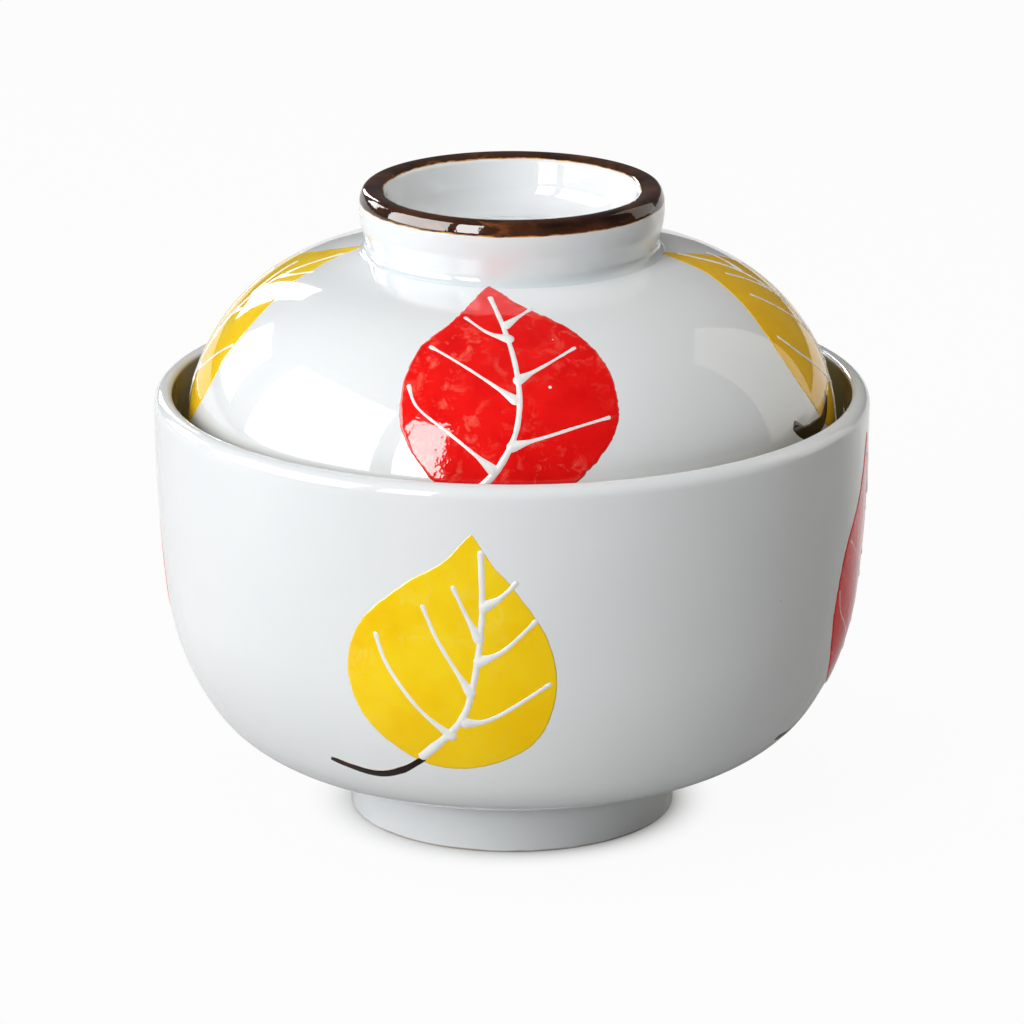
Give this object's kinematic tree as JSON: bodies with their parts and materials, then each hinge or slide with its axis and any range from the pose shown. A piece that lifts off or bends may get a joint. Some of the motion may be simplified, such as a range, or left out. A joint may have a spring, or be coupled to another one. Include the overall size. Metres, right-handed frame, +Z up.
{
  "type": "lidded steaming bowl",
  "caption": "Deep round glazed bowl on a foot ring with a domed lid on an inner ledge; the lid's ring is its grip; painted leaves with raised veins.",
  "frame": {"origin": "on the axis of the bowl, at the standing face of its foot ring", "axes": "+Z up along the axis, -Y towards the front (the side with the bowl's yellow leaf), +X to the right"},
  "size_m": [0.1203, 0.1204, 0.1078],
  "materials": {
    "white_glaze": "glossy clear glaze over white porcelain, faintly blue",
    "iron_glaze": "glossy dark brown iron glaze with reddish streaks",
    "red_enamel": "glossy red enamel, lightly mottled",
    "yellow_enamel": "glossy yellow enamel, lightly mottled",
    "white_slip": "raised white trailed lines under the glaze",
    "stem_brown": "brushed dark brown lines"
  },
  "bodies": {
    "bowl": {"bowl_wall": "white_glaze", "bowl_foot_ring": "white_glaze", "bowl_leaf_front": "yellow_enamel", "bowl_veins_front": "white_slip", "bowl_stem_front": "stem_brown", "bowl_leaf_right": "red_enamel", "bowl_veins_right": "white_slip", "bowl_stem_right": "stem_brown", "bowl_leaf_back": "yellow_enamel", "bowl_veins_back": "white_slip", "bowl_stem_back": "stem_brown", "bowl_leaf_left": "red_enamel", "bowl_veins_left": "white_slip", "bowl_stem_left": "stem_brown"},
    "lid": {"lid_dome": "white_glaze", "lid_grip_ring": "white_glaze", "lid_rim_glaze": "iron_glaze", "lid_leaf_front": "red_enamel", "lid_veins_front": "white_slip", "lid_stem_front": "stem_brown", "lid_leaf_right": "yellow_enamel", "lid_veins_right": "white_slip", "lid_stem_right": "stem_brown", "lid_leaf_back": "red_enamel", "lid_veins_back": "white_slip", "lid_stem_back": "stem_brown", "lid_leaf_left": "yellow_enamel", "lid_veins_left": "white_slip", "lid_stem_left": "stem_brown"}
  },
  "joints": [
    {"name": "lid_lift", "type": "slide", "parent": "bowl", "child": "lid", "axis": [0, 0, 1], "range_m": [0, 0.06]}
  ]
}
